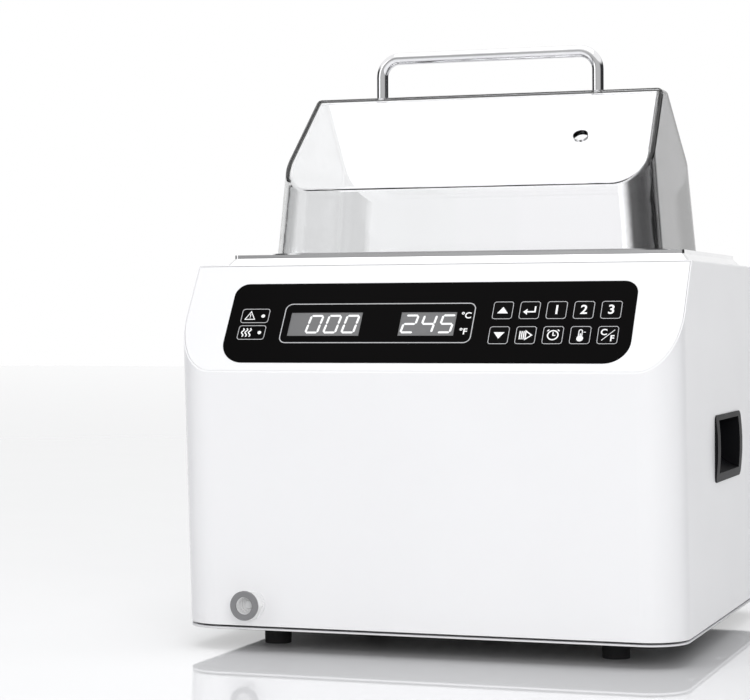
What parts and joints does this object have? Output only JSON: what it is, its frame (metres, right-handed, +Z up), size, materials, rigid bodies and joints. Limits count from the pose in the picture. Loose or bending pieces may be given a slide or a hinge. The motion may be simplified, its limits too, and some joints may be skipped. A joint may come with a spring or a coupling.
{
  "type": "laboratory water bath",
  "caption": "Bench water bath: white housing with sloping control face, steel tank, lift-off clear gable lid with rod handle, perforated shelf, drain port, side grips and rear mains inlet.",
  "frame": {"origin": "on the bench, under the middle of the whole object's box", "axes": "+Z up, front with the control face towards -Y, drain on the -X side"},
  "size_m": [0.3446, 0.315, 0.4107],
  "materials": {
    "white_housing": "smooth satin-gloss moulding",
    "black_overlay": "glossy membrane",
    "display_window": "smoked window",
    "indicator_lens": "clear coloured lens",
    "key_cap": "fine satin",
    "polished_steel": "polished",
    "tank_steel": "satin stainless",
    "lid_acrylic": "clear",
    "handle_steel": "polished rod",
    "heater_sheath": "heat-tinted satin",
    "black_plastic": "fine moulded texture",
    "white_fitting": "smooth",
    "grey_ring": "satin",
    "grey_sheet": "fine powder coat",
    "foot_rubber": "matte",
    "screw_steel": "plated",
    "board": "solder mask",
    "component_black": "moulded",
    "standoff_brass": "nickelled brass",
    "heatsink_aluminium": "black anodised",
    "terminal_green": "moulded",
    "insulation": "mineral felt",
    "hose_rubber": "silicone hose"
  },
  "bodies": {
    "base": {"alarm_light": "indicator_lens", "base_plate": "grey_sheet", "base_screws": "screw_steel", "board_standoffs": "standoff_brass", "casing": "white_housing", "control_bezel": "white_housing", "control_overlay": "black_overlay", "display_board": "board", "display_board_screws": "screw_steel", "drain_hose": "hose_rubber", "drain_nut": "white_fitting", "drain_ring": "grey_ring", "drain_spout": "white_fitting", "foot_front_left": "foot_rubber", "foot_front_right": "foot_rubber", "foot_rear_left": "foot_rubber", "foot_rear_right": "foot_rubber", "foot_screws": "screw_steel", "heater_glands": "screw_steel", "heating_element": "heater_sheath", "heating_light": "indicator_lens", "heatsink": "heatsink_aluminium", "hose_clamps": "screw_steel", "insulation_jacket": "insulation", "key_switches": "component_black", "power_board": "board", "power_inlet": "black_plastic", "probe_gland": "screw_steel", "rear_panel": "grey_sheet", "rear_panel_screws": "screw_steel", "relay": "component_black", "rim_frame": "polished_steel", "safety_thermostat": "screw_steel", "side_handle_left": "black_plastic", "side_handle_right": "black_plastic", "switch_housing": "black_plastic", "tank": "tank_steel", "tank_outlet": "tank_steel", "temperature_display": "display_window", "temperature_probe": "heater_sheath", "terminal_block": "terminal_green", "time_display": "display_window", "transformer": "component_black"},
    "lid": {"lid": "lid_acrylic", "lid_handle": "handle_steel", "handle_screws": "screw_steel"},
    "shelf": {"shelf": "tank_steel"},
    "drain_valve_core": {"drain_valve": "white_fitting"},
    "rocker": {"power_rocker": "black_plastic"},
    "fuse_carrier": {"fuse_drawer": "black_plastic"},
    "key_up_cap": {"key_up": "key_cap"},
    "key_enter_cap": {"key_enter": "key_cap"},
    "key_program_1_cap": {"key_program_1": "key_cap"},
    "key_program_2_cap": {"key_program_2": "key_cap"},
    "key_program_3_cap": {"key_program_3": "key_cap"},
    "key_down_cap": {"key_down": "key_cap"},
    "key_run_cap": {"key_run": "key_cap"},
    "key_timer_cap": {"key_timer": "key_cap"},
    "key_temperature_cap": {"key_temperature": "key_cap"},
    "key_units_cap": {"key_units": "key_cap"}
  },
  "joints": [
    {"name": "lid_lift", "type": "slide", "parent": "base", "child": "lid", "axis": [0, 0, 1], "range_m": [0, 0.16]},
    {"name": "shelf_lift", "type": "slide", "parent": "base", "child": "shelf", "axis": [0, 0, 1], "range_m": [0, 0.12]},
    {"name": "drain_valve_press", "type": "slide", "parent": "base", "child": "drain_valve_core", "axis": [0, 1, 0], "range_m": [0, 0.0035], "stiffness_N_per_m": 600, "springref_m": -0.004},
    {"name": "rocker_tilt", "type": "hinge", "parent": "base", "child": "rocker", "pos_m": [0.06, 0.152, 0.075], "axis": [1, 0, 0], "range_deg": [-14, 0]},
    {"name": "fuse_carrier_pull", "type": "slide", "parent": "base", "child": "fuse_carrier", "axis": [0, 1, 0], "range_m": [0, 0.014]},
    {"name": "key_up_press", "type": "slide", "parent": "base", "child": "key_up_cap", "axis": [0, 0.8387, -0.5446], "range_m": [0, 0.0008], "stiffness_N_per_m": 900, "springref_m": -0.0008},
    {"name": "key_enter_press", "type": "slide", "parent": "base", "child": "key_enter_cap", "axis": [0, 0.8387, -0.5446], "range_m": [0, 0.0008], "stiffness_N_per_m": 900, "springref_m": -0.0008},
    {"name": "key_program_1_press", "type": "slide", "parent": "base", "child": "key_program_1_cap", "axis": [0, 0.8387, -0.5446], "range_m": [0, 0.0008], "stiffness_N_per_m": 900, "springref_m": -0.0008},
    {"name": "key_program_2_press", "type": "slide", "parent": "base", "child": "key_program_2_cap", "axis": [0, 0.8387, -0.5446], "range_m": [0, 0.0008], "stiffness_N_per_m": 900, "springref_m": -0.0008},
    {"name": "key_program_3_press", "type": "slide", "parent": "base", "child": "key_program_3_cap", "axis": [0, 0.8387, -0.5446], "range_m": [0, 0.0008], "stiffness_N_per_m": 900, "springref_m": -0.0008},
    {"name": "key_down_press", "type": "slide", "parent": "base", "child": "key_down_cap", "axis": [0, 0.8387, -0.5446], "range_m": [0, 0.0008], "stiffness_N_per_m": 900, "springref_m": -0.0008},
    {"name": "key_run_press", "type": "slide", "parent": "base", "child": "key_run_cap", "axis": [0, 0.8387, -0.5446], "range_m": [0, 0.0008], "stiffness_N_per_m": 900, "springref_m": -0.0008},
    {"name": "key_timer_press", "type": "slide", "parent": "base", "child": "key_timer_cap", "axis": [0, 0.8387, -0.5446], "range_m": [0, 0.0008], "stiffness_N_per_m": 900, "springref_m": -0.0008},
    {"name": "key_temperature_press", "type": "slide", "parent": "base", "child": "key_temperature_cap", "axis": [0, 0.8387, -0.5446], "range_m": [0, 0.0008], "stiffness_N_per_m": 900, "springref_m": -0.0008},
    {"name": "key_units_press", "type": "slide", "parent": "base", "child": "key_units_cap", "axis": [0, 0.8387, -0.5446], "range_m": [0, 0.0008], "stiffness_N_per_m": 900, "springref_m": -0.0008}
  ]
}
